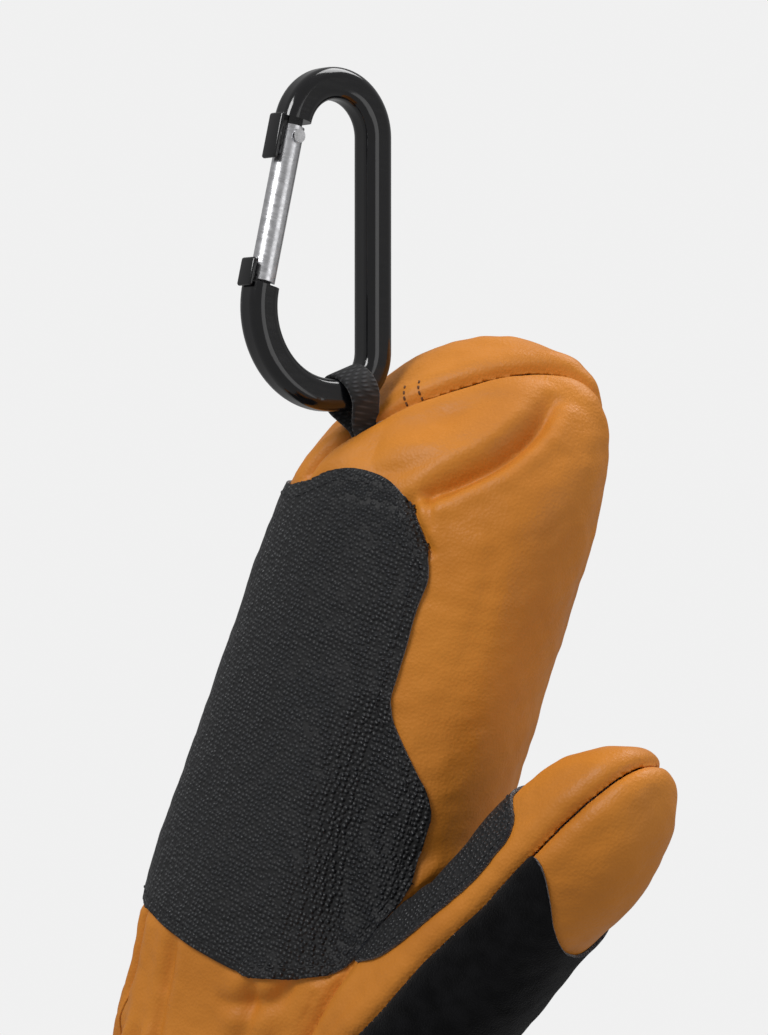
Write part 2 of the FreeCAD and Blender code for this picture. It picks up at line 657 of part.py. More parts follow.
def build():
    fill_sheet()
    hand, thumb = Hand(), Thumb()
    hand_leather(hand)
    hand_linings(hand)
    hand_bands(hand)
    palm_patch(hand)
    thumb_parts(thumb)
    wrist_strap(hand)
    hang_loop()
    carabiner_body()
    gate_sleeve()
    gate_rivet()
    spring_plunger()
    gate_spring()
    doc.recompute()


def write_nodes():
    """Checks every object, then writes one STEP file for each node."""
    for thing in doc.Objects:
        if {"Invalid", "Error"} & set(thing.State):
            raise SystemExit("%s did not build" % thing.Label)
    os.makedirs("parts", exist_ok=True)
    for name in NODES:
        shape = doc.getObjectsByLabel(name)[0].Shape
        if shape.isNull() or not shape.isValid() or not shape.Solids:
            raise SystemExit("%s has no sound solid" % name)
        box = shape.BoundBox
        shape.exportStep("parts/%s.step" % name)
        print("%-20s solids %d volume %.1f box x %.1f..%.1f y %.1f..%.1f z %.1f..%.1f" % (
            name, len(shape.Solids), shape.Volume, box.XMin, box.XMax, box.YMin, box.YMax, box.ZMin, box.ZMax))


build()
write_nodes()
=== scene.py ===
"""Ski mitten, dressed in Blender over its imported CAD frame.

The outer shell is one padded form: a hand and a thumb merged, puffed by a short cloth simulation, creased in
code, and then cut along its seams into leather panels and sewn patches. The layers inside are cut from plain
copies of the form, each set in by its own depth. Sizes of the mitten are millimetres, and MM turns them into
Blender's metres. The camera, the lights and the two ends of the fold are in metres.
"""
import functools
import itertools
import json
import math

import bpy
import numpy as np
from mathutils import Matrix, Vector
from mathutils.bvhtree import BVHTree


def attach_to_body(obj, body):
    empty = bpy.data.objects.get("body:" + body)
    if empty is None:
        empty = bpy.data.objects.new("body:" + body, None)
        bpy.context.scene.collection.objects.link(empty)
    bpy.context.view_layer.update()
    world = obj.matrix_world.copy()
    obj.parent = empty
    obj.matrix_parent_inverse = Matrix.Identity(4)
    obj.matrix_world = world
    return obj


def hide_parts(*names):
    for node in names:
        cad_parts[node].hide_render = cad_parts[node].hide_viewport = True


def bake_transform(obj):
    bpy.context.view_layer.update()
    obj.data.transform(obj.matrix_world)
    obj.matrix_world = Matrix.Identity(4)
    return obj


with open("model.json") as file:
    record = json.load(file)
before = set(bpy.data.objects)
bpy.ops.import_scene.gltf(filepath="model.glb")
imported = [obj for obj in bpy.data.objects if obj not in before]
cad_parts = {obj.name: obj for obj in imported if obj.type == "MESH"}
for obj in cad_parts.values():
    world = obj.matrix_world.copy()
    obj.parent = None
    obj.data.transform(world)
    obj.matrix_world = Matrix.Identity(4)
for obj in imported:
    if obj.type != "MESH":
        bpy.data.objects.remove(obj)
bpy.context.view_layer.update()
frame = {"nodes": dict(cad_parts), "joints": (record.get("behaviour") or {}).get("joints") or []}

MM = 0.001

# Hand sections: height, centre x, centre y, half width, half depth, lean of the section in degrees.
HAND = (
    (0, 0, 0, 60, 46, 0), (20, 0, 0, 58.5, 44.5, 0), (38, 0, 0, 55, 42, 0), (54, 0, 0, 47.5, 36, 0),
    (64, 0, 0, 45, 34, 0), (76, 0, 0, 46, 34, 0), (90, 1, 0, 48, 34, 0), (118, 2, -1, 52, 36, 0),
    (160, -0.5, 0, 50.5, 33.5, 0), (205, -2, 0, 49, 32, 3), (240, -1.5, -1, 47.5, 31.5, 10),
    (264, 0, -1, 44, 31, 20),
    (280, 2, 0, 38, 28, 30), (291, 4, 2, 28, 22, 38), (298, 5, 4, 15, 12, 42), (301, 6, 5, 4, 3, 42),
)
HAND_CLOSING = 280          # sections above this height close the fingertips
# Thumb sections: step along the thumb's axis, half width, half depth, shift away from the hand.
THUMB = ((-22, 14, 16, 0), (0, 21, 21, -1), (26, 23.5, 22.5, -4.5), (57, 22.8, 22.5, -5.6),
         (87, 21.5, 21.5, -7.8), (107, 22, 21.5, -8), (122, 21, 20, -8.6), (135, 17, 16.5, -9.4),
         (144, 11, 11, -10), (148.5, 4, 4, -10.5))
THUMB_CLOSING = 135         # sections past this step close the thumb's tip
THUMB_ROOT = np.array([47.0, -16.0, 82.0])
THUMB_LEAN = math.radians(28.3)
THUMB_DRIFT = 0.081
SQUARENESS = 2.3            # power of the superellipse sections; 2 is a plain ellipse
SECTION_POINTS = 72
SECTION_STEPS = 4           # sections that are drawn for each one that is given
REMESH = 4.0
SIM_FRAMES = 14
SIM_PRESSURE = 4.0
SIM_CAP = 5.0               # the furthest that the simulation may move a point
SIM_HELD_BELOW = 84         # the simulation leaves the wrist and the cuff alone
SIM_SEAM_REACH = 6.0        # a seam holds the leather beside it over this distance

# Seams and outlines in the front view, as (x, z). FOLD runs between hand and thumb.
FOLD = ((22, 40), (30, 76), (45, 147), (56.5, 160), (62, 175), (90, 240))
THUMB_SEAM = ((41, 82), (61, 122), (69, 140), (82, 163), (93, 186), (110, 222))
PALM_PATCH = ((-90, 109), (-37, 109), (-8, 108.5), (11, 109), (26, 115), (38.5, 122), (44, 146), (42, 162),
              (41, 176), (29.5, 189), (21.5, 197), (21, 213), (20, 230), (21, 238), (13, 249), (3, 256.5),
              (-8, 258), (-20.6, 255), (-36, 243), (-90, 234))
GRIP_PATCH = ((84, 187), (77, 169), (63, 148), (52, 133), (40, 125), (26, 150), (66, 200))
SUEDE_PATCH = ((93.5, 186), (82.5, 163), (69.5, 140), (61.5, 122), (42, 84), (80, 60), (150, 100),
               (104, 118), (103.5, 138), (103, 160), (100, 177))
TIP_SEAM_SLOPE = 0.625      # the panel seam lies in the upright plane y = slope * x + offset
TIP_SEAM_OFFSET = -2.6
# Each patch covers only what lies in front of its own y.
PALM_PATCH_BACK = 4
GRIP_PATCH_BACK = -8
SUEDE_PATCH_BACK = 0

# Creases: points on the surface, depth and half width.
CREASES = (
    (((4, -29, 253), (12, -26, 261), (17.6, -22, 268), (22, -16, 274), (24, -7.5, 285), (21, 2, 295)),
     4.6, 2.6),
    (((-12, -28, 257), (-2, -28, 262), (8, -26, 268)), 0.9, 2.5),
    (((2, -31, 257), (9, -30, 252), (15, -30, 246), (20, -30, 243)), 2.4, 1.6),
    (((8, -29, 262), (12, -29, 256), (16, -30, 249)), 1.4, 1.4),
    (((19, -32, 200), (23, -33, 175), (28, -32, 150), (31, -31, 120)), 3.4, 8.0),
    (((33, -24, 262), (37, -24, 235), (38, -26, 205), (36, -27, 180)), 0.6, 3.0),
    (((44, -16, 250), (47, -18, 225), (48, -18, 200)), 0.5, 2.4),
    (((30, -30, 168), (40, -26, 160), (48, -18, 158)), 1.0, 4.0),
    (((-20, -33, 110), (-18, -34, 88), (-14, -33, 66)), 2.6, 2.4),
    (((12, -36, 110), (15, -36, 92), (10, -34, 70)), 3.0, 2.6),
    (((-44, -20, 108), (-41, -20, 90), (-38, -19, 70)), 2.2, 2.4),
    (((26, -33, 116), (20, -36, 104), (2, -37, 96)), 2.4, 2.6),
)
# Rolls of padding: points on the surface, height and half width.
ROLLS = (
    (((-14, -26, 264), (0, -24, 269), (9, -19, 276), (14, -10, 287), (12, 0, 298)), 3.0, 8.0),
    (((8, -36, 112), (24, -38, 110), (34, -38, 118)), 1.6, 4.5),
)
LINE_STEPS = 6              # chords drawn for each span of a crease or a roll
CREASE_LIP = 0.25           # height of the swell beside a crease, as a share of its depth
HAND_SEAM_DEPTH = 2.5
THUMB_SEAM_DEPTH = 1.5
SEAM_SWELL = 1.1
WRIST = 64                  # height of the middle of the gathers
GATHERS = 26                # folds round the wrist
GATHER_HEIGHT = 1.5
WRIST_GROOVE = 1.6
EYE_DENT = 4.5              # room that the leather gives the carabiner round the loop's eye
EYE_DENT_WIDTH = 13
STRAP_BED = 0.3             # how far the strap presses the leather in

LEATHER = 1.3               # thickness of the leather
LEATHER_FOOT = 60           # height where the cuff's leather ends and the hand's begins
CUFF_FOOT = 3.5             # lower edge of the cuff's leather, inside the binding
PATCH_LIFT = 0.15           # gap between the leather and a patch sewn on it
PATCH = 1.1                 # thickness of a patch
THREAD_LIFT = 1.25          # height of a patch's face over the leather
SEAM_GAP = 0.3              # thin dark line left between two panels

# The wrist strap and the two pads under its tab, as (from, to) in x and in z, on the back of the wrist.
STRAP_SPAN = (-44, 31)
STRAP_RISE = (46, 70)
STRAP_FRONT = 8             # the strap lies behind this y
SEWN_SPAN = (-44, -11)
TAB_SPAN = (-9.5, 31)
PAD_SPAN = (-7, 28)
PAD_RISE = (48, 68)

# Closed profile of the tape round the cuff: offset from the outer form, height.
BINDING = (
    (0.2, 10), (0.9, 10.4), (1.45, 9.8), (1.5, 1.3), (1.1, 0.3), (0.2, 0), (-9.6, 0), (-10.5, 0.3),
    (-10.9, 1.3), (-10.8, 9.8), (-10.3, 10.4), (-9.7, 10), (-9.6, 3.1), (0.1, 3.1),
)

# The webbing loop: radius of its eye, size of the band, and one leg from the seam, as (across, up).
LOOP_RADIUS = 6.8
LOOP_WIDTH = 10.5
LOOP_THICKNESS = 1.2
LOOP_ARC = (-42, 222)       # degrees of the eye that the band follows
LOOP_LEG = ((0.8, -3.0), (0.85, -1.2), (1.3, 0.9))

# One stitch: place along it and swell at each of its rings.
STITCH_RINGS = ((-1.0, 0.45), (-0.55, 1.0), (0.55, 1.0), (1.0, 0.45))
STITCH_SIDES = 6
STITCH_LIFT = 0.12
STITCH_SINK = 0.25          # how much deeper its ends lie than its middle
STITCH_STEP = 0.3           # distance over which a row's direction is measured
STITCH_JUMP = 1.2           # a stitch that would leap further than this is left out

# Outer lips of the bar behind which the closed gate rests: start and end along the gate.
LIPS = {"hinge_lip": (-5.6, 8.0), "nose_lip": (37.6, 46.0)}
LIP_DEPTH = 1.5
LIP_WIDTH = 6.4
LIP_OUTWARD = 5.7           # from the gate's axis to the middle of a lip
LIP_ROUNDING = 0.85


# ---- small helpers -------------------------------------------------------------------------------------

def smooth_curve(points, per_span):
    """Points along a Catmull-Rom curve through the given ones."""
    p = np.array(points, float)
    p = np.vstack([2 * p[0] - p[1], p, 2 * p[-1] - p[-2]])
    out = []
    for a, b, c, d in zip(p, p[1:], p[2:], p[3:]):
        for k in range(per_span):
            t = k / per_span
            out.append(0.5 * (2 * b + (c - a) * t + (2 * a - 5 * b + 4 * c - d) * t * t
                              + (3 * b - a - 3 * c + d) * t ** 3))
    out.append(p[-2])
    return np.array(out)


def distance_to(points, curve):
    """Shortest distance from each point to a polyline, and a weight that fades toward its two ends."""
    best = np.full(len(points), 1e9)
    weight = np.zeros(len(points))
    spans = len(curve) - 1
    for number, (a, b) in enumerate(zip(curve, curve[1:])):
        along = b - a
        share = np.clip(((points - a) @ along) / (along @ along), 0, 1)
        away = np.linalg.norm(points - a - share[:, None] * along, axis=1)
        middle = 2 * (number + share) / spans - 1
        weight = np.where(away < best, 1 - middle ** 4, weight)
        best = np.minimum(best, away)
    return best, weight


def side_of(points, curve):
    """Signed distance in the front view from an open line; positive to its right, looking up along it."""
    flat = points[:, [0, 2]]
    best = np.full(len(flat), 1e9)
    sign = np.ones(len(flat))
    for a, b in zip(curve, curve[1:]):
        along = b - a
        share = np.clip(((flat - a) @ along) / (along @ along), 0, 1)
        away = flat - a - share[:, None] * along
        length = np.linalg.norm(away, axis=1)
        closer = length < best
        turn = along[1] * away[:, 0] - along[0] * away[:, 1]
        sign = np.where(closer, np.where(turn >= 0, 1.0, -1.0), sign)
        best = np.minimum(best, length)
    return sign * best


def rounded(outline, reach=3.5, steps=2):
    """The outline with its corners cut back to short chords, so that it reads as a curve."""
    ring = np.array(outline, float)
    for _ in range(steps):
        corners = []
        for before, corner, after in zip(np.roll(ring, 1, axis=0), ring, np.roll(ring, -1, axis=0)):
            for other in (before, after):
                length = np.linalg.norm(other - corner)
                corners.append(corner + (other - corner) * min(reach / length, 0.3))
        ring = np.array(corners)
        reach *= 0.4
    return ring


def inside(points, outline):
    """Signed distance in the front view from a closed outline; positive inside it."""
    flat = points[:, [0, 2]]
    ring = np.array(outline, float)
    best = np.full(len(flat), 1e9)
    odd = np.zeros(len(flat), bool)
    for a, b in zip(ring, np.roll(ring, -1, axis=0)):
        along = b - a
        share = np.clip(((flat - a) @ along) / (along @ along), 0, 1)
        best = np.minimum(best, np.linalg.norm(flat - a - share[:, None] * along, axis=1))
        if a[1] != b[1]:
            spans = (a[1] > flat[:, 1]) != (b[1] > flat[:, 1])
            cross = a[0] + (flat[:, 1] - a[1]) / (b[1] - a[1]) * (b[0] - a[0])
            odd ^= spans & (flat[:, 0] < cross)
    return np.where(odd, best, -best)


def waves(points, scale, seed, octaves=3):
    """Smooth pseudo-random field, as a few crossed sine waves; about -1 to 1."""
    rng = np.random.default_rng(seed)
    total = np.zeros(len(points))
    for octave in range(octaves):
        for _ in range(4):
            way = rng.normal(size=3)
            way *= 2 * math.pi * 1.6 ** octave / (scale * np.linalg.norm(way))
            total += np.sin(points @ way + rng.uniform(0, 6.28)) / (4 * 1.5 ** octave)
    return total


def bell(distance, width):
    """1 at no distance, fading smoothly to almost nothing at twice the width."""
    return np.exp(-(distance / width) ** 2)


def tube_faces(count, levels, first=0, closed=False):
    """Quads round a stack of rings of count points each, capped at both ends or joined end to end."""
    faces = []
    for level in range(levels if closed else levels - 1):
        low = first + level * count
        high = first + (level + 1) % levels * count
        for k in range(count):
            after = (k + 1) % count
            faces.append((low + k, low + after, high + after, high + k))
    if not closed:
        top = first + (levels - 1) * count
        faces.append(tuple(range(first, first + count))[::-1])
        faces.append(tuple(range(top, top + count)))
    return faces


def new_object(name, points, faces):
    """A mesh object from points in millimetres."""
    mesh = bpy.data.meshes.new(name)
    mesh.from_pydata((np.asarray(points) * MM).tolist(), [], [tuple(f) for f in faces])
    mesh.update()
    mesh.shade_smooth()
    thing = bpy.data.objects.new(name, mesh)
    bpy.context.scene.collection.objects.link(thing)
    return thing


def read_mesh(mesh):
    """Points in millimetres and triangles of a mesh."""
    mesh.calc_loop_triangles()
    points = np.empty(len(mesh.vertices) * 3)
    mesh.vertices.foreach_get("co", points)
    tris = np.empty(len(mesh.loop_triangles) * 3, int)
    mesh.loop_triangles.foreach_get("vertices", tris)
    return points.reshape(-1, 3) / MM, tris.reshape(-1, 3)


def evaluated(thing):
    """A new mesh with the object's modifiers applied."""
    graph = bpy.context.evaluated_depsgraph_get()
    return bpy.data.meshes.new_from_object(thing.evaluated_get(graph))


def point_normals(points, tris):
    """Smooth normals, each weighted by the area of the triangles round its point."""
    a, b, c = points[tris[:, 0]], points[tris[:, 1]], points[tris[:, 2]]
    face = np.cross(b - a, c - a)
    out = np.zeros_like(points)
    for k in range(3):
        np.add.at(out, tris[:, k], face)
    return out / np.maximum(np.linalg.norm(out, axis=1, keepdims=True), 1e-9)


def joint(name):
    """Pivot in millimetres and axis of one CAD joint."""
    found = next(item for item in frame["joints"] if item["name"] == name)
    return np.array(found["pos_m"]) / MM, np.array(found["axis"])


# ---- fields: signed distances that are positive on one side of a seam or an edge -----------------------

def on_thumb(points):
    return side_of(points, smooth_curve(FOLD, 4))


def on_hand(points):
    return -on_thumb(points)


def outer_thumb(points):
    return side_of(points, np.array(THUMB_SEAM, float))


def back_side(points):
    away = points[:, 1] - TIP_SEAM_SLOPE * points[:, 0] - TIP_SEAM_OFFSET
    return away / math.hypot(1, TIP_SEAM_SLOPE)


def above(height):
    return lambda points: points[:, 2] - height


def below(height):
    return lambda points: height - points[:, 2]


def not_of(field):
    return lambda points: -field(points)


def shy(field):
    """The same side, but stopping just short of its edge."""
    return lambda points: field(points) - SEAM_GAP


def all_of(*fields):
    return lambda points: np.minimum.reduce([field(points) for field in fields])


def front_within(outline, back):
    """Inside a rounded outline of the front view and in front of y = back."""
    ring = rounded(outline)
    return lambda points: np.minimum(inside(points, ring), back - points[:, 1])


def strap_area(points, span=STRAP_SPAN, rise=STRAP_RISE):
    """Depth inside a rectangle on the back of the wrist; negative outside it."""
    x, y, z = points.T
    return np.minimum.reduce([x - span[0], span[1] - x, z - rise[0], rise[1] - z, y - STRAP_FRONT])


def seam_distance(points):
    """Distance to the nearest seam of the leather."""
    fold = np.abs(on_thumb(points))
    thumb = np.abs(outer_thumb(points))
    tip = np.abs(back_side(points))
    return np.where(on_thumb(points) > 0, np.minimum(fold, thumb), np.minimum(fold, tip))


# ---- the padded form -----------------------------------------------------------------------------------

def section_ring(half_width, half_depth):
    """A flat superellipse of points round the origin."""
    turn = np.linspace(0, 2 * math.pi, SECTION_POINTS, endpoint=False)
    power = 2 / SQUARENESS
    x = half_width * np.sign(np.cos(turn)) * np.abs(np.cos(turn)) ** power
    y = half_depth * np.sign(np.sin(turn)) * np.abs(np.sin(turn)) ** power
    return np.stack([x, y, np.zeros(SECTION_POINTS)], axis=1)


def hand_rings(grow=0.0):
    """Rings of the hand; a negative grow sets them in and lowers the ones that close the tip."""
    rings = []
    for height, x, y, half_width, half_depth, lean in smooth_curve(HAND, SECTION_STEPS):
        ring = section_ring(max(half_width + grow, 1), max(half_depth + grow, 1))
        tilt = math.radians(lean)
        ring[:, 2] = ring[:, 1] * math.sin(tilt)
        ring[:, 1] = ring[:, 1] * math.cos(tilt)
        drop = grow * (height > HAND_CLOSING)
        rings.append(ring + (x, y, height + drop))
    return rings


def thumb_axis():
    """Directions along the thumb, and across it away from the hand."""
    along = np.array([math.sin(THUMB_LEAN), -THUMB_DRIFT, math.cos(THUMB_LEAN)])
    across = np.array([math.cos(THUMB_LEAN), 0, -math.sin(THUMB_LEAN)])
    return along, across


def thumb_rings(grow=0.0):
    """Rings of the thumb, square to its axis."""
    along, across = thumb_axis()
    rings = []
    for step, half_width, half_depth, shift in smooth_curve(THUMB, SECTION_STEPS):
        ring = section_ring(max(half_width + grow, 1), max(half_depth + grow, 1))
        step += grow * (step > THUMB_CLOSING)
        centre = THUMB_ROOT + along * step + across * shift
        rings.append(centre + ring[:, :1] * across + ring[:, 1:2] * np.array([0, 1, 0]))
    return rings


def loft(rings):
    """Points and faces of a closed skin over a stack of rings."""
    return np.vstack(rings), tube_faces(SECTION_POINTS, len(rings))


def merged_form(grow=0.0):
    """Hand and thumb as one even quad mesh, set in all round where grow is negative."""
    hand_points, hand_faces = loft(hand_rings(grow))
    thumb_points, thumb_faces = loft(thumb_rings(grow))
    shift = len(hand_points)
    faces = hand_faces + [tuple(k + shift for k in face) for face in thumb_faces]
    thing = new_object("form_draft", np.vstack([hand_points, thumb_points]), faces)
    remesh = thing.modifiers.new("even", "REMESH")
    remesh.mode = "VOXEL"
    remesh.voxel_size = REMESH * MM
    soften = thing.modifiers.new("soften", "SMOOTH")
    soften.factor = 0.5
    soften.iterations = 5
    mesh = evaluated(thing)
    bpy.data.objects.remove(thing)
    return mesh


def puffed(mesh):
    """Cloth simulation: the shell swells between its seams and is held at the seams and the cuff."""
    thing = bpy.data.objects.new("form_cloth", mesh)
    bpy.context.scene.collection.objects.link(thing)
    points, _ = read_mesh(mesh)
    held = np.clip(1.2 - seam_distance(points) / SIM_SEAM_REACH, 0, 1)
    held = np.maximum(held, np.clip((SIM_HELD_BELOW - points[:, 2]) / 12.0, 0, 1))
    group = thing.vertex_groups.new(name="held")
    for index, weight in enumerate(held):
        group.add([index], float(weight), "REPLACE")
    cloth = thing.modifiers.new("cloth", "CLOTH")
    cloth.settings.quality = 6
    cloth.settings.mass = 0.3
    cloth.settings.tension_stiffness = 12
    cloth.settings.compression_stiffness = 12
    cloth.settings.bending_stiffness = 1.5
    cloth.settings.use_pressure = True
    cloth.settings.uniform_pressure_force = SIM_PRESSURE
    cloth.settings.vertex_group_mass = "held"
    cloth.settings.effector_weights.gravity = 0
    cloth.point_cache.frame_start = 1
    cloth.point_cache.frame_end = SIM_FRAMES
    scene = bpy.context.scene
    for number in range(1, SIM_FRAMES + 1):
        scene.frame_set(number)
    moved, _ = read_mesh(evaluated(thing))
    scene.frame_set(1)
    change = moved - points
    length = np.linalg.norm(change, axis=1, keepdims=True)
    change *= np.minimum(1, SIM_CAP / np.maximum(length, 1e-6))
    mesh.vertices.foreach_set("co", ((points + change) * MM).ravel())
    bpy.data.objects.remove(thing)
    return mesh


def refined(mesh, levels):
    """The mesh after some subdivisions, as points and triangles."""
    thing = bpy.data.objects.new("form_fine", mesh)
    bpy.context.scene.collection.objects.link(thing)
    subdivision = thing.modifiers.new("finer", "SUBSURF")
    subdivision.levels = levels
    points, tris = read_mesh(evaluated(thing))
    bpy.data.objects.remove(thing)
    return points, tris


def seam_relief(points):
    """A groove along each leather seam with a swell beside it, above the cuff and clear of the palm patch."""
    gap = seam_distance(points)
    above_cuff = np.clip((points[:, 2] - 74) / 10, 0, 1)
    bare = np.clip(-front_within(PALM_PATCH, PALM_PATCH_BACK)(points) / 3, 0, 1)
    depth = np.where(on_thumb(points) > 0, THUMB_SEAM_DEPTH, HAND_SEAM_DEPTH)
    return above_cuff * bare * (SEAM_SWELL * bell(gap - 5, 3.5) - depth * bell(gap, 1.4))


def crease_relief(points):
    """Creases, each with a low lip beside it, and rolls of padding."""
    lift = np.zeros(len(points))
    for line, depth, width in CREASES:
        away, weight = distance_to(points, smooth_curve(line, LINE_STEPS))
        lift -= weight * depth * bell(away, width)
        lift += weight * CREASE_LIP * depth * bell(away - 2.4 * width, 1.2 * width)
    for line, height, width in ROLLS:
        away, weight = distance_to(points, smooth_curve(line, LINE_STEPS))
        lift += weight * height * bell(away, width)
    return lift


def wrist_relief(points):
    """Folds that the elastic gathers round the wrist, and the groove where it lies."""
    turn = np.arctan2(points[:, 1] * 1.35, points[:, 0])
    wobble = waves(points, 60, 3, 2)
    folds = np.cos(GATHERS * turn + 2.2 * wobble) * (0.75 + 0.5 * waves(points, 35, 4, 1))
    from_wrist = points[:, 2] - WRIST
    return GATHER_HEIGHT * folds * bell(from_wrist, 15) - WRIST_GROOVE * bell(from_wrist, 4.5)


def creased(points, tris):
    """The points moved along their normals: relief, dents and soft unevenness, all calmer under the strap."""
    eye, _ = joint("clip_swing")
    lift = seam_relief(points) + crease_relief(points) + wrist_relief(points)
    lift -= EYE_DENT * bell(np.linalg.norm(points - eye, axis=1), EYE_DENT_WIDTH)
    bed = np.clip(1 + strap_area(points) / 4, 0, 1)
    lift = lift * (1 - bed) - STRAP_BED * bed
    lift += 0.55 * waves(points, 38, 5, 2) * (1 - bed)
    lift += 0.16 * waves(points, 9, 6, 2)
    return points + point_normals(points, tris) * lift[:, None]


# ---- cutting the form into pieces ----------------------------------------------------------------------

NEAREST_CUT = 0.03          # a point nearer to a cut than this is taken as this far from it


class Skin:
    """A triangle mesh with the places its points had before creasing, used to find the seams."""

    def __init__(self, points, tris, rest):
        self.points, self.tris, self.rest = points, tris, rest

    @functools.cached_property
    def tree(self):
        return BVHTree.FromPolygons(self.points.tolist(), self.tris.tolist())

    def hit(self, x, z):
        """Where a line seen from the front at (x, z) first meets the skin, and the normal there."""
        place, normal, _, _ = self.tree.ray_cast(Vector((x, -200, z)), Vector((0, 1, 0)))
        return None if place is None else (np.array(place), np.array(normal))

    def keep(self, field):
        """The part where field (a function of rest points) is positive, cut cleanly along its edge."""
        value = field(self.rest)
        nudged = np.where(value < 0, -NEAREST_CUT, NEAREST_CUT)
        value = np.where(np.abs(value) < NEAREST_CUT, nudged, value)
        good = value > 0
        hits = good[self.tris].sum(axis=1)
        tris = self.tris[hits == 3].tolist()
        points, rest = list(self.points), list(self.rest)
        made = {}

        def between(a, b):
            key = (min(a, b), max(a, b))
            if key not in made:
                share = value[a] / (value[a] - value[b])
                points.append(self.points[a] + (self.points[b] - self.points[a]) * share)
                rest.append(self.rest[a] + (self.rest[b] - self.rest[a]) * share)
                made[key] = len(points) - 1
            return made[key]

        for tri in self.tris[(hits == 1) | (hits == 2)]:
            while not (good[tri[0]] and not good[tri[2]]):
                tri = np.roll(tri, 1)
            a, b, c = tri
            last = between(a, c)
            if good[b]:
                middle = between(b, c)
                tris.append((a, b, middle))
                tris.append((a, middle, last))
            else:
                tris.append((a, between(a, b), last))
        return Skin(np.array(points), np.array(tris, int).reshape(-1, 3), np.array(rest)).tidy()

    def tidy(self):
        """Drops points that no triangle uses."""
        used, index = np.unique(self.tris, return_inverse=True)
        return Skin(self.points[used], index.reshape(-1, 3), self.rest[used])

    def moved(self, offset):
        """The same skin shifted along its normals."""
        normals = point_normals(self.points, self.tris)
        return Skin(self.points + normals * offset, self.tris, self.rest)


def attach(thing, material, body, node=None):
    """Gives a piece its finish and slot, sets it on its body or bakes its placement into its mesh, and hides
    its CAD node.
    """
    thing.data.materials.append(material)
    if body == "fold":
        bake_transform(thing)
    else:
        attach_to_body(thing, body)
    if node:
        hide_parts(node)


def solid(name, points, faces, material, body, node=None):
    """A closed piece from points in millimetres."""
    attach(new_object(name, points, faces), material, body, node)


def piece(name, skin, material, thickness, body, node, outward=False, edge=None):
    """Turns a skin into a piece with thickness, on a body or with its placement baked into its mesh."""
    thing = new_object(name, skin.points, skin.tris)
    attach(thing, material, body, node)
    shell = thing.modifiers.new("thickness", "SOLIDIFY")
    shell.thickness = thickness * MM
    shell.offset = 1 if outward else -1
    if edge is not None:
        thing.data.materials.append(edge)
        shell.material_offset_rim = 1


# ---- materials -----------------------------------------------------------------------------------------

class Shader:
    """A node material around one Principled shader, fed by object coordinates."""

    def __init__(self, name, color, roughness, metallic=0.0):
        self.material = bpy.data.materials.new(name)
        self.material.use_nodes = True
        self.tree = self.material.node_tree
        self.shader = self.tree.nodes["Principled BSDF"]
        self.set("Base Color", (*color, 1))
        self.set("Roughness", roughness)
        self.set("Metallic", metallic)
        coordinates = self.tree.nodes.new("ShaderNodeTexCoord")
        self.place = coordinates.outputs["Object"]
        self.height = None

    def set(self, name, value):
        self.shader.inputs[name].default_value = value

    def link(self, source, target):
        self.tree.links.new(source, target)

    def noise(self, scale, detail=3.0, stretch=(1, 1, 1)):
        texture = self.tree.nodes.new("ShaderNodeTexNoise")
        texture.inputs["Scale"].default_value = scale
        texture.inputs["Detail"].default_value = detail
        self.link(self.stretched(stretch), texture.inputs["Vector"])
        return texture.outputs["Fac"]

    def cells(self, scale, randomness=1.0, stretch=(1, 1, 1)):
        texture = self.tree.nodes.new("ShaderNodeTexVoronoi")
        texture.inputs["Scale"].default_value = scale
        texture.inputs["Randomness"].default_value = randomness
        self.link(self.stretched(stretch), texture.inputs["Vector"])
        return texture.outputs["Distance"]

    def stretched(self, stretch, turn=(0, 0, 0)):
        mapping = self.tree.nodes.new("ShaderNodeMapping")
        mapping.inputs["Scale"].default_value = stretch
        mapping.inputs["Rotation"].default_value = turn
        self.link(self.place, mapping.inputs["Vector"])
        return mapping.outputs["Vector"]

    def ramp(self, source, stops):
        node = self.tree.nodes.new("ShaderNodeValToRGB")
        elements = node.color_ramp.elements
        while len(elements) < len(stops):
            elements.new(0.5)
        for element, (position, color) in zip(elements, stops):
            element.position = position
            element.color = (*color, 1) if len(color) == 3 else color
        self.link(source, node.inputs["Fac"])
        return node.outputs["Color"]

    def paint(self, source, stops):
        self.link(self.ramp(source, stops), self.shader.inputs["Base Color"])

    def vary_roughness(self, source, low, high):
        grey = self.ramp(source, ((0.3, (low,) * 3), (0.7, (high,) * 3)))
        self.link(grey, self.shader.inputs["Roughness"])

    def bump(self, source, strength, depth):
        node = self.tree.nodes.new("ShaderNodeBump")
        node.inputs["Strength"].default_value = strength
        node.inputs["Distance"].default_value = depth
        self.link(source, node.inputs["Height"])
        if self.height is not None:
            self.link(self.height, node.inputs["Normal"])
        self.height = node.outputs["Normal"]
        self.link(self.height, self.shader.inputs["Normal"])


def tan_leather():
    s = Shader("tan_leather", (0.60, 0.25, 0.04), 0.45)
    tones = ((0.3, (0.59, 0.203, 0.020)), (0.5, (0.66, 0.232, 0.024)), (0.7, (0.72, 0.262, 0.030)))
    s.paint(s.noise(26, 4), tones)
    s.vary_roughness(s.noise(60, 4), 0.45, 0.60)
    s.set("Specular IOR Level", 0.36)
    s.bump(s.noise(230, 6), 0.32, 0.0007)
    s.bump(s.cells(1100), 0.34, 0.0003)
    return s.material


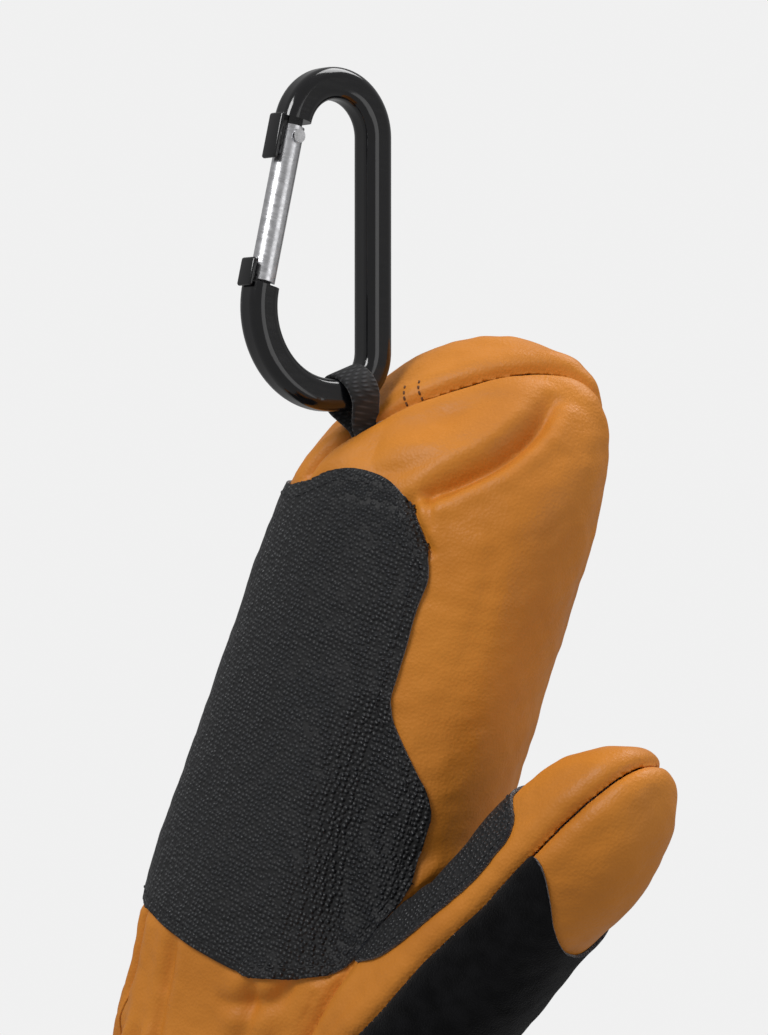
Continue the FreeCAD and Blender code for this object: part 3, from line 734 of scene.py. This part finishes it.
def embossed_leather():
    s = Shader("embossed_leather", (0.016, 0.017, 0.020), 0.45)
    grain = s.cells(700, 0.45)
    # The ramp paints the pebble tops pale, a painted highlight, and the grooves between pebbles near black, a
    # painted shade.
    tones = ((0.04, (0.13, 0.135, 0.15)), (0.2, (0.015, 0.016, 0.019)), (0.7, (0.003, 0.003, 0.004)))
    s.paint(grain, tones)
    s.link(s.ramp(grain, ((0.1, (0.2,) * 3), (0.5, (0.6,) * 3))), s.shader.inputs["Roughness"])
    s.set("Specular IOR Level", 0.55)
    s.bump(s.ramp(grain, ((0.0, (1,) * 3), (0.62, (0,) * 3))), 1.0, 0.0009)
    s.bump(s.noise(420, 4), 0.4, 0.0006)
    return s.material


def suede():
    s = Shader("suede", (0.004, 0.004, 0.005), 0.95)
    s.paint(s.noise(180, 6), ((0.35, (0.0015, 0.0015, 0.002)), (0.65, (0.006, 0.006, 0.007))))
    s.set("Sheen Weight", 0.08)
    s.set("Specular IOR Level", 0.1)
    s.bump(s.noise(1800, 4), 0.7, 0.0006)
    return s.material


def fabric(name, color, scale, turn=0.0):
    """Woven cloth: two crossed sets of ribs."""
    s = Shader(name, color, 0.85)
    heights = []
    for direction in ("X", "Z"):
        wave = s.tree.nodes.new("ShaderNodeTexWave")
        wave.bands_direction = direction
        wave.inputs["Scale"].default_value = scale
        s.link(s.stretched((1, 1, 1), (0, turn, 0)), wave.inputs["Vector"])
        heights.append(wave.outputs["Fac"])
    mix = s.tree.nodes.new("ShaderNodeMath")
    mix.operation = "MULTIPLY"
    for source, target in zip(heights, mix.inputs):
        s.link(source, target)
    # The ramp paints the rib crests lighter, a painted highlight, and the hollows between ribs darker, a
    # painted shade.
    light = tuple(min(1, 2.6 * c + 0.01) for c in color)
    s.paint(mix.outputs[0], ((0.05, tuple(0.5 * c for c in color)), (0.55, color), (0.9, light)))
    s.bump(mix.outputs[0], 0.6, 0.0004)
    s.set("Sheen Weight", 0.2)
    return s.material


def pile(name, dark, light):
    s = Shader(name, dark, 1.0)
    s.paint(s.noise(700, 5), ((0.35, dark), (0.7, light)))
    s.bump(s.noise(1200, 4), 0.9, 0.0012)
    s.set("Sheen Weight", 0.5)
    return s.material


def metal(name, color, roughness, metallic, scratch, coat=0.0):
    s = Shader(name, color, roughness, metallic)
    streaks = s.noise(90, 6, (1, 1, 14))
    s.vary_roughness(streaks, max(roughness - scratch, 0.02), roughness + scratch)
    bright = tuple(min(1, 1.15 * c) for c in color)
    s.paint(s.noise(400, 4), ((0.35, tuple(0.88 * c for c in color)), (0.65, bright)))
    s.bump(streaks, 0.05, 0.0002)
    s.set("Coat Weight", coat)
    s.set("Coat Roughness", 0.04)
    return s.material


def film():
    s = Shader("film", (0.75, 0.78, 0.80), 0.3)
    s.paint(s.noise(40, 3), ((0.3, (0.68, 0.72, 0.75)), (0.7, (0.82, 0.84, 0.85))))
    s.bump(s.noise(300, 4), 0.3, 0.0004)
    return s.material


def thread(name, color):
    s = Shader(name, color, 0.7)
    dark = tuple(0.7 * c for c in color)
    light = tuple(min(1, 1.2 * c) for c in color)
    s.paint(s.noise(2600, 2), ((0.3, dark), (0.7, light)))
    s.bump(s.noise(3000, 2), 0.5, 0.0002)
    return s.material


TAN = tan_leather()
EMBOSSED = embossed_leather()
SUEDE = suede()
EDGE = pile("cut_edge", (0.006, 0.008, 0.016), (0.014, 0.018, 0.034))
LINING = pile("lining", (0.035, 0.033, 0.031), (0.10, 0.095, 0.09))
WADDING = pile("wadding", (0.62, 0.61, 0.58), (0.85, 0.84, 0.8))
FILM = film()
ELASTIC = fabric("elastic", (0.03, 0.03, 0.03), 160)
TAPE = fabric("tape", (0.018, 0.018, 0.021), 240)
WEBBING = fabric("webbing", (0.014, 0.014, 0.016), 230, 0.7)
HOOKS = pile("hooks", (0.012, 0.012, 0.012), (0.05, 0.05, 0.05))
PILE_PAD = pile("loop_pile", (0.015, 0.015, 0.016), (0.045, 0.045, 0.048))
BLACK_ALLOY = metal("black_alloy", (0.004, 0.004, 0.005), 0.14, 0.0, 0.04, 0.35)
BARE_ALLOY = metal("bare_alloy", (0.72, 0.72, 0.74), 0.32, 1.0, 0.10)
STEEL = metal("steel", (0.62, 0.62, 0.63), 0.28, 1.0, 0.08)
BLACK_THREAD = thread("black_thread", (0.012, 0.012, 0.014))
TAN_THREAD = thread("tan_thread", (0.14, 0.05, 0.012))


# ---- pieces of the mitten ------------------------------------------------------------------------------

def make_skin():
    mesh = merged_form()
    mesh = puffed(mesh)
    points, tris = refined(mesh, 2)
    return Skin(creased(points, tris), tris, points)


def inner_skin(depth):
    """A smooth skin that lies the given depth inside the outer form."""
    points, tris = refined(merged_form(-depth), 1)
    return Skin(points, tris, points)


def leather(skin):
    """The four panels of the shell and the leather of the cuff."""
    hand = skin.keep(all_of(on_hand, above(LEATHER_FOOT)))
    thumb = skin.keep(all_of(on_thumb, above(LEATHER_FOOT)))
    panels = (
        ("palm_leather", hand, not_of(back_side), "hand", "palm_panel"),
        ("back_leather", hand, back_side, "hand", "back_panel"),
        ("thumb_inner_leather", thumb, not_of(outer_thumb), "fold", "thumb_inner_panel"),
        ("thumb_outer_leather", thumb, outer_thumb, "fold", "thumb_outer_panel"),
    )
    for name, part, side, body, node in panels:
        piece(name, part.keep(shy(side)), TAN, LEATHER, body, node)
    cuff = skin.keep(all_of(above(CUFF_FOOT), below(LEATHER_FOOT)))
    piece("cuff_leather", cuff, TAN, LEATHER, "hand", "cuff_panel")


def patch_skin(skin, outline, back, side, lift):
    """The skin under a patch, lifted off the leather."""
    return skin.keep(all_of(front_within(outline, back), side)).moved(lift)


def patches(skin):
    """The palm's grip patch, and the grip strip and suede of the thumb."""
    rows = (
        ("palm_grip_patch", PALM_PATCH, PALM_PATCH_BACK, on_hand, EMBOSSED, "hand", "palm_patch"),
        ("thumb_grip_strip", GRIP_PATCH, GRIP_PATCH_BACK, on_thumb, EMBOSSED, "fold", "thumb_grip_patch"),
        ("thumb_suede", SUEDE_PATCH, SUEDE_PATCH_BACK, on_thumb, SUEDE, "fold", "thumb_suede_patch"),
    )
    for name, outline, back, side, material, body, node in rows:
        area = patch_skin(skin, outline, back, side, PATCH_LIFT)
        piece(name, area, material, PATCH, body, node, outward=True, edge=EDGE)


def inner_layers():
    """Elastic at the wrist, and wadding, film and lining inside the leather."""
    band = inner_skin(5.4).keep(all_of(above(58.5), below(70), on_hand))
    piece("wrist_elastic_band", band, ELASTIC, 0.5, "hand", "wrist_elastic")
    rows = (
        ("insulation", 7.2, 0.9, WADDING),
        ("membrane", 8.3, 0.2, FILM),
        ("lining", 8.7, 0.9, LINING),
    )
    for name, depth, thickness, material in rows:
        layer = inner_skin(depth)
        hand = layer.keep(all_of(on_hand, above(3.3)))
        thumb = layer.keep(all_of(on_thumb, above(LEATHER_FOOT)))
        piece("hand_%s_layer" % name, hand, material, thickness, "hand", "hand_" + name)
        piece("thumb_%s_layer" % name, thumb, material, thickness, "fold", "thumb_" + name)


# ---- strap, binding, webbing and thread ----------------------------------------------------------------

def wrist_strap(skin):
    """Strap over the back of the wrist, its free tab and the two pads under the tab."""
    smooth = Skin(skin.rest, skin.tris, skin.rest)
    rows = (
        ("wrist_strap_sewn", WEBBING, SEWN_SPAN, STRAP_RISE, 0.5, 1.3, "hand", "wrist_strap"),
        ("strap_loop_pad_pile", PILE_PAD, PAD_SPAN, PAD_RISE, 0.5, 1.1, "hand", "strap_loop_pad"),
        ("strap_hook_pad_hooks", HOOKS, PAD_SPAN, PAD_RISE, 1.75, 0.9, "strap", "strap_hook_pad"),
        ("strap_tab_leather", EMBOSSED, TAB_SPAN, STRAP_RISE, 2.75, 1.8, "strap", "strap_tab"),
    )
    for name, material, span, rise, lift, thickness, body, node in rows:
        area = functools.partial(strap_area, span=span, rise=rise)
        edge = EDGE if material is EMBOSSED else None
        piece(name, smooth.keep(area).moved(lift), material, thickness, body, node, outward=True, edge=edge)


def cuff_binding():
    """Tape folded round the open end, drawn as one closed profile carried round the rim."""
    rows = np.array(HAND, float)
    rings = []
    for grow, height in BINDING:
        half_width = np.interp(height, rows[:, 0], rows[:, 3]) + grow
        half_depth = np.interp(height, rows[:, 0], rows[:, 4]) + grow
        rings.append(section_ring(half_width, half_depth) + (0, 0, height))
    faces = tube_faces(SECTION_POINTS, len(rings), closed=True)
    solid("cuff_binding_tape", np.vstack(rings), faces, TAPE, "hand", "cuff_binding")


def hanging_loop():
    """Webbing from the seam, up round the carabiner's bar and back to the seam."""
    foot, across = joint("loop_fold")
    eye, _ = joint("clip_swing")
    height = np.linalg.norm(eye - foot)
    up = (eye - foot) / height
    side = np.cross(across, up)
    turn = np.radians(np.linspace(*LOOP_ARC, 40))
    bow = [(LOOP_RADIUS * math.cos(t), height + LOOP_RADIUS * math.sin(t)) for t in turn]
    path = [*LOOP_LEG, *bow, *((-x, z) for x, z in reversed(LOOP_LEG))]
    line = np.array([foot + side * x + up * z for x, z in smooth_curve(path, 3)])
    points, faces = ribbon(line, across, LOOP_WIDTH, LOOP_THICKNESS)
    solid("hanging_loop_webbing", points, faces, WEBBING, "loop", "hang_loop")


def ribbon(line, across, width, thickness):
    """Points and faces of a flat band along a line, with rounded edges."""
    ahead = np.gradient(line, axis=0)
    ahead /= np.linalg.norm(ahead, axis=1, keepdims=True)
    outward = np.cross(ahead, across)
    w, t = width / 2, thickness / 2
    half = ((-w + t, t), (0, t), (w - t, t), (w - 0.3 * t, 0.7 * t), (w, 0), (w - 0.3 * t, -0.7 * t))
    profile = (*half, *((-a, -b) for a, b in half))
    points = np.vstack([[p + across * a + o * b for a, b in profile] for p, o in zip(line, outward)])
    return points, tube_faces(len(profile), len(line))


def spaced(line, pitch):
    """Places every pitch along a line, and the way from each to a place a little further on."""
    steps = np.linalg.norm(np.diff(line, axis=0), axis=1)
    travelled = np.concatenate([[0], np.cumsum(steps)])
    stops = np.arange(pitch / 2, travelled[-1], pitch)

    def at(distances):
        return np.stack([np.interp(distances, travelled, column) for column in line.T], axis=1)

    return at(stops), at(stops + STITCH_STEP) - at(stops)


def stitch(middle, along, normal, length, radius):
    """Rings of points round one stitch, whose ends sink into the skin."""
    beside = np.cross(along, normal)
    points = []
    for step, swell in STITCH_RINGS:
        centre = middle + along * step * length / 2 + normal * (STITCH_LIFT - STITCH_SINK * step ** 2)
        for k in range(STITCH_SIDES):
            angle = 2 * math.pi * k / STITCH_SIDES
            points.append(centre + radius * swell * (beside * math.cos(angle) + normal * math.sin(angle)))
    return points


def stitches(name, skin, line, material, body, pitch=3.0, length=2.1, radius=0.3):
    """A row of thread stitches lying on the skin under a line given in the front view."""
    points, faces = [], []
    for place, ahead in zip(*spaced(np.array(line, float), pitch)):
        found = skin.hit(*place)
        further = skin.hit(*(place + ahead))
        if found is None or further is None or np.linalg.norm(further[0] - found[0]) > STITCH_JUMP:
            continue
        middle, normal = found
        along = further[0] - middle
        along /= max(np.linalg.norm(along), 1e-6)
        faces += tube_faces(STITCH_SIDES, len(STITCH_RINGS), first=len(points))
        points += stitch(middle, along, normal, length, radius)
    solid(name, points, faces, material, body)


def inset_line(outline, depth):
    """The outline moved inward by a depth, whichever way round it runs."""
    ring = np.array(outline, float)
    following = np.roll(ring, -1, axis=0)
    area = np.sum(ring[:, 0] * following[:, 1] - following[:, 0] * ring[:, 1])
    shares = np.linspace(0, 1, 12)[:-1]
    dense = np.vstack([a + (b - a) * share for a, b in zip(ring, following) for share in shares])
    ahead = np.roll(dense, -2, axis=0) - np.roll(dense, 2, axis=0)
    ahead /= np.maximum(np.linalg.norm(ahead, axis=1, keepdims=True), 1e-6)
    inward = np.stack([-ahead[:, 1], ahead[:, 0]], axis=1) * (1 if area > 0 else -1)
    return dense + inward * depth


def threads(skin):
    """Stitch rows of the two embossed patches and of the loop's foot."""
    palm = patch_skin(skin, PALM_PATCH, PALM_PATCH_BACK, on_hand, THREAD_LIFT)
    stitches("palm_patch_stitches", palm, inset_line(PALM_PATCH, 3.0), BLACK_THREAD, "hand")
    grip = patch_skin(skin, GRIP_PATCH, GRIP_PATCH_BACK, on_thumb, THREAD_LIFT)
    stitches("grip_strip_stitches", grip, inset_line(GRIP_PATCH, 2.6), BLACK_THREAD, "fold")
    foot_rows = (((-22.0, 281.5), (-16.8, 275.6)), ((-18.6, 284.5), (-13.4, 278.6)))
    for number, row in enumerate(foot_rows):
        stitches("loop_foot_stitches_%d" % number, skin, row, TAN_THREAD, "hand", 1.8, 1.4, 0.34)


# ---- the carabiner -------------------------------------------------------------------------------------

def metal_parts():
    finishes = {
        "carabiner_body": BLACK_ALLOY, "gate_sleeve": BARE_ALLOY, "gate_rivet": STEEL,
        "gate_spring": STEEL, "spring_plunger": STEEL,
    }
    for name, material in finishes.items():
        node = frame["nodes"][name]
        node.data.materials.clear()
        node.data.materials.append(material)


def gate_lips():
    """Outer lips of the bar that the closed gate rests behind, at its hinge and at its nose."""
    pivot, turn = joint("gate_open")
    _, down = joint("plunger_slide")
    outward = -np.cross(turn, down)
    axes = Matrix((outward, down, np.cross(outward, down))).transposed().to_4x4()
    faces = ((0, 1, 3, 2), (4, 6, 7, 5), (0, 4, 5, 1), (2, 3, 7, 6), (0, 2, 6, 4), (1, 5, 7, 3))
    for name, (start, end) in LIPS.items():
        size = (LIP_DEPTH, end - start, LIP_WIDTH)
        corners = np.array(list(itertools.product((-1, 1), repeat=3))) * size / 2
        thing = new_object(name, corners, faces)
        place = Vector((pivot + down * (start + end) / 2 + outward * LIP_OUTWARD) * MM)
        thing.matrix_world = Matrix.Translation(place) @ axes
        bevel = thing.modifiers.new("rounded", "BEVEL")
        bevel.width = LIP_ROUNDING * MM
        bevel.segments = 4
        attach(thing, BLACK_ALLOY, "clip")


# ---- light, floor and camera ---------------------------------------------------------------------------

VIEW_TURN = math.radians(33)
VIEW_RISE = math.radians(10)
VIEW_ROLL = math.radians(19)
VIEW_DISTANCE = 1.2
VIEW_LENS = 142.7
VIEW_TARGET = Vector((-0.01384, -0.00899, 0.243))
SENSOR_WIDTH = 36
LIGHT_TARGET = Vector((0, 0, 0.2))
BACKDROP = 0.875            # shade of the backdrop
AMBIENT = 0.36              # how bright the backdrop is as a light source


def camera_axes():
    """Right, up and backward directions of the camera."""
    right = Vector((math.cos(VIEW_TURN), math.sin(VIEW_TURN), 0))
    back = Vector((math.sin(VIEW_TURN) * math.cos(VIEW_RISE), -math.cos(VIEW_TURN) * math.cos(VIEW_RISE),
                   math.sin(VIEW_RISE)))
    up = back.cross(right)
    turned_right = right * math.cos(VIEW_ROLL) + up * math.sin(VIEW_ROLL)
    return turned_right, back.cross(turned_right), back


def camera():
    right, up, back = camera_axes()
    data = bpy.data.cameras.new("camera")
    data.lens = VIEW_LENS
    data.sensor_width = SENSOR_WIDTH
    data.clip_end = 30
    thing = bpy.data.objects.new("camera", data)
    bpy.context.scene.collection.objects.link(thing)
    turn = Matrix((right, up, back)).transposed().to_4x4()
    thing.matrix_world = Matrix.Translation(VIEW_TARGET + back * VIEW_DISTANCE) @ turn
    bpy.context.scene.camera = thing


def area_light(name, place, size, power):
    """A square light that faces the mitten."""
    data = bpy.data.lights.new(name, "AREA")
    data.size = size
    data.energy = power
    thing = bpy.data.objects.new(name, data)
    bpy.context.scene.collection.objects.link(thing)
    thing.location = place
    thing.rotation_euler = (LIGHT_TARGET - place).to_track_quat("-Z", "Y").to_euler()


def seamless(tree, emitter, shade):
    """Gives an emitting shader the backdrop's shade to the camera and a dimmer one as a light source."""
    path = tree.nodes.new("ShaderNodeLightPath")
    strength = tree.nodes.new("ShaderNodeMapRange")
    strength.inputs["To Min"].default_value = AMBIENT
    strength.inputs["To Max"].default_value = 1.0
    tree.links.new(path.outputs["Is Camera Ray"], strength.inputs["Value"])
    tree.links.new(strength.outputs["Result"], emitter.inputs["Strength"])
    emitter.inputs["Color"].default_value = (shade, shade, shade, 1)


def floor():
    """A wide plane just under the mitten that glows in the backdrop's shade."""
    bpy.ops.mesh.primitive_plane_add(size=40, location=(0, 0, -0.0005))
    plane = bpy.context.object
    plane.name = "floor"
    paint = bpy.data.materials.new("floor")
    paint.use_nodes = True
    nodes = paint.node_tree.nodes
    nodes.clear()
    glow = nodes.new("ShaderNodeEmission")
    output = nodes.new("ShaderNodeOutputMaterial")
    paint.node_tree.links.new(glow.outputs[0], output.inputs["Surface"])
    seamless(paint.node_tree, glow, BACKDROP)
    plane.data.materials.append(paint)


def stage():
    """Soft studio light over a seamless pale floor."""
    right, up, back = camera_axes()
    area_light("key", LIGHT_TARGET - right * 0.8 + up * 1.0 + back * 0.8, 0.6, 12.0)
    area_light("fill", LIGHT_TARGET + right * 1.2 + back * 0.9, 1.0, 3.2)
    area_light("rim", LIGHT_TARGET + right * 0.5 + up * 1.1 - back * 0.3, 0.7, 8.0)
    world = bpy.data.worlds.new("studio")
    world.use_nodes = True
    seamless(world.node_tree, world.node_tree.nodes["Background"], BACKDROP)
    scene = bpy.context.scene
    scene.world = world
    scene.view_settings.view_transform = "Standard"
    floor()


def main():
    skin = make_skin()
    leather(skin)
    patches(skin)
    inner_layers()
    wrist_strap(skin)
    cuff_binding()
    hanging_loop()
    threads(skin)
    metal_parts()
    gate_lips()
    stage()
    camera()


main()
